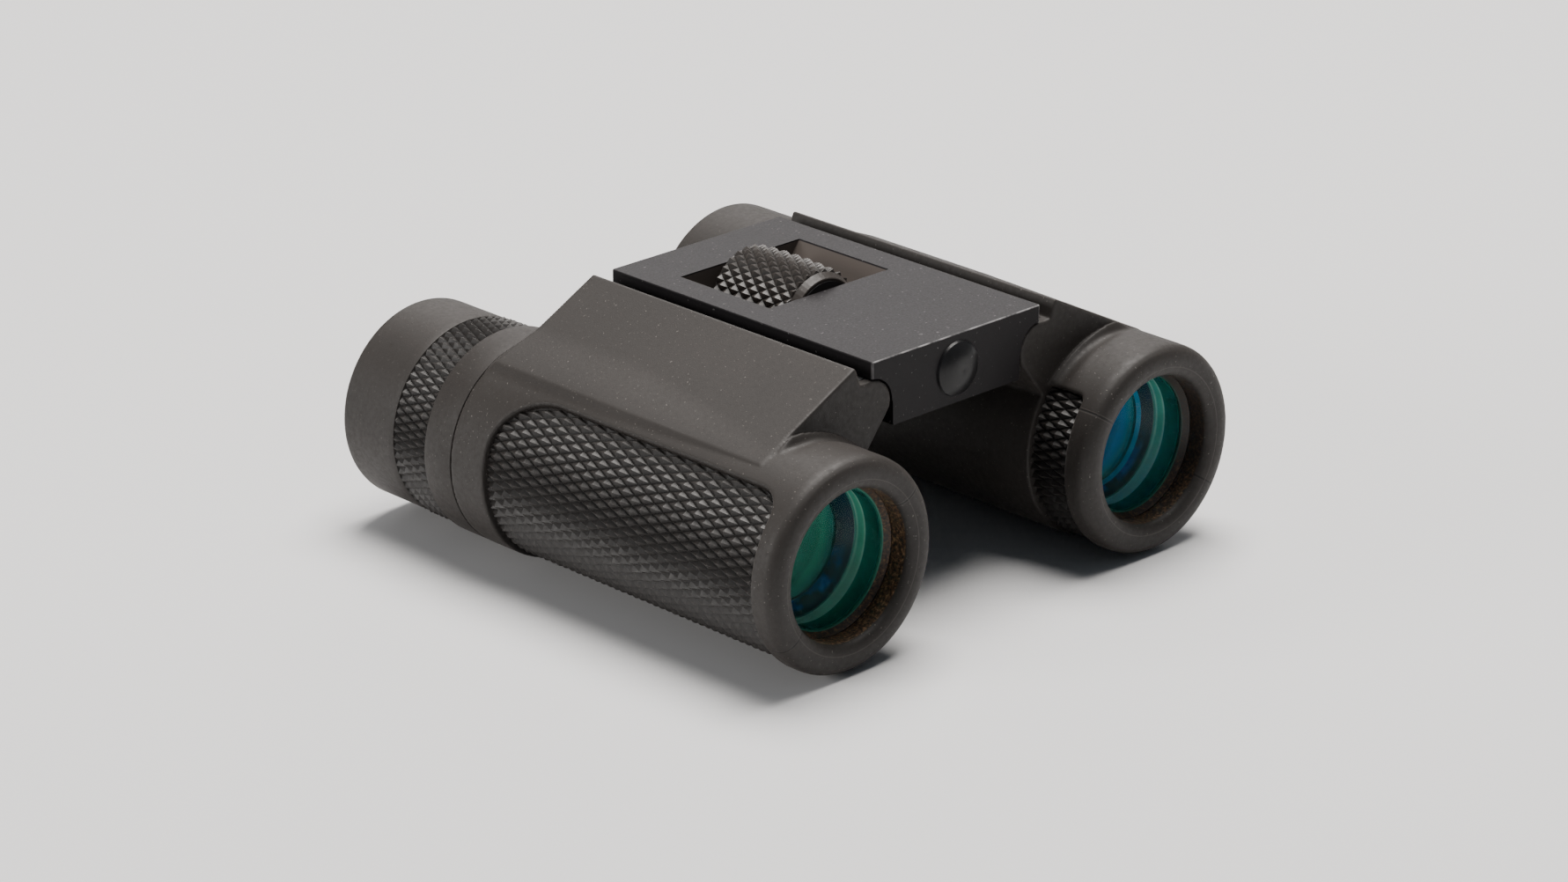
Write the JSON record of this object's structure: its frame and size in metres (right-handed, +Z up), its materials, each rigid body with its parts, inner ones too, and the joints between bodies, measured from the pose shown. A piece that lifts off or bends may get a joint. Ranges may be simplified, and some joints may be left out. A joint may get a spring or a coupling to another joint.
{
  "type": "binoculars",
  "caption": "Compact folding roof-prism binoculars: two rubber-armoured barrels hinged on a flat bridge with a knurled focus wheel.",
  "frame": {"origin": "ground level, midway between the barrels and midway along them", "axes": "+Z up, Y along the optical axes with the eyepieces at +Y and the objectives at -Y, X across; the user's right barrel is at -X"},
  "size_m": [0.0952, 0.0926, 0.0424],
  "materials": {
    "bridge_paint": "satin",
    "steel": "brushed",
    "cap_black": "satin",
    "brass": "satin",
    "black_plastic": "matte",
    "wheel_rubber": "matte",
    "armour_rubber": "matte",
    "grip_rubber": "matte",
    "retainer": "matte",
    "coated_glass": "gloss",
    "glass": "gloss",
    "eyecup_rubber": "matte"
  },
  "bodies": {
    "bridge": {"bridge_body": "bridge_paint", "bridge_bottom_cover": "bridge_paint", "cover_screws": "steel", "front_axle_cap": "cap_black", "rear_axle_cap": "cap_black", "spindle_bushes": "brass", "right_front_hinge_pin": "steel", "right_rear_hinge_pin": "steel", "left_front_hinge_pin": "steel", "left_rear_hinge_pin": "steel"},
    "focus_wheel": {"focus_wheel_core": "black_plastic", "focus_wheel_grip": "wheel_rubber", "focus_spindle": "steel", "spindle_clip": "steel"},
    "carriage": {"focus_carriage": "brass"},
    "right_barrel": {"right_barrel_housing": "black_plastic", "right_barrel_armour": "armour_rubber", "right_grip_pad": "grip_rubber", "right_objective_retaining_ring": "retainer", "right_objective_front_lens": "coated_glass", "right_objective_rear_lens": "coated_glass", "right_objective_cell": "black_plastic", "right_prism_cage": "black_plastic", "right_roof_prism": "glass", "right_second_prism": "glass", "right_field_stop": "black_plastic", "right_eyepiece_base_band": "armour_rubber"},
    "left_barrel": {"left_barrel_housing": "black_plastic", "left_barrel_armour": "armour_rubber", "left_grip_pad": "grip_rubber", "left_objective_retaining_ring": "retainer", "left_objective_front_lens": "coated_glass", "left_objective_rear_lens": "coated_glass", "left_objective_cell": "black_plastic", "left_prism_cage": "black_plastic", "left_roof_prism": "glass", "left_second_prism": "glass", "left_field_stop": "black_plastic", "left_eyepiece_base_band": "armour_rubber", "left_eyepiece_tube": "black_plastic", "left_field_lens": "glass", "left_eye_lens": "coated_glass", "left_eyepiece_spacer": "black_plastic", "left_eyepiece_ring": "grip_rubber", "left_eyecup": "eyecup_rubber"},
    "right_focus_cell": {"right_focus_lens_cell": "black_plastic", "right_focus_lens": "glass"},
    "left_focus_cell": {"left_focus_lens_cell": "black_plastic", "left_focus_lens": "glass"},
    "right_diopter": {"right_diopter_ring": "grip_rubber", "right_eyecup": "eyecup_rubber"},
    "right_eyepiece": {"right_eyepiece_tube": "black_plastic", "right_field_lens": "glass", "right_eye_lens": "coated_glass", "right_eyepiece_spacer": "black_plastic"}
  },
  "joints": [
    {"name": "right_barrel_fold", "type": "hinge", "parent": "bridge", "child": "right_barrel", "pos_m": [-0.0172, 0, 0.0332], "axis": [0, 1, 0], "range_deg": [-38, 22]},
    {"name": "left_barrel_fold", "type": "hinge", "parent": "bridge", "child": "left_barrel", "pos_m": [0.0172, 0, 0.0332], "axis": [0, -1, 0], "range_deg": [-38, 22]},
    {"name": "focus_wheel_turn", "type": "hinge", "parent": "bridge", "child": "focus_wheel", "pos_m": [0, 0, 0.0345], "axis": [0, 1, 0], "range_deg": [-270, 270]},
    {"name": "carriage_slide", "type": "slide", "parent": "bridge", "child": "carriage", "axis": [0, 1, 0], "range_m": [-0.0021, 0.0021]},
    {"name": "right_focus_slide", "type": "slide", "parent": "right_barrel", "child": "right_focus_cell", "axis": [0, 1, 0], "range_m": [-0.0021, 0.0021]},
    {"name": "left_focus_slide", "type": "slide", "parent": "left_barrel", "child": "left_focus_cell", "axis": [0, 1, 0], "range_m": [-0.0021, 0.0021]},
    {"name": "diopter_turn", "type": "hinge", "parent": "right_barrel", "child": "right_diopter", "pos_m": [-0.0315, 0, 0.0161], "axis": [0, 1, 0], "range_deg": [-45, 45]},
    {"name": "right_eyepiece_slide", "type": "slide", "parent": "right_barrel", "child": "right_eyepiece", "axis": [0, 1, 0], "range_m": [-0.00105, 0.00105]}
  ],
  "couplings": [
    {"joint": "carriage_slide", "follows": "focus_wheel_turn", "m_per_rad": 0.0004244},
    {"joint": "right_focus_slide", "follows": "focus_wheel_turn", "m_per_rad": 0.0004244},
    {"joint": "left_focus_slide", "follows": "focus_wheel_turn", "m_per_rad": 0.0004244},
    {"joint": "right_eyepiece_slide", "follows": "diopter_turn", "m_per_rad": 0.001273}
  ]
}
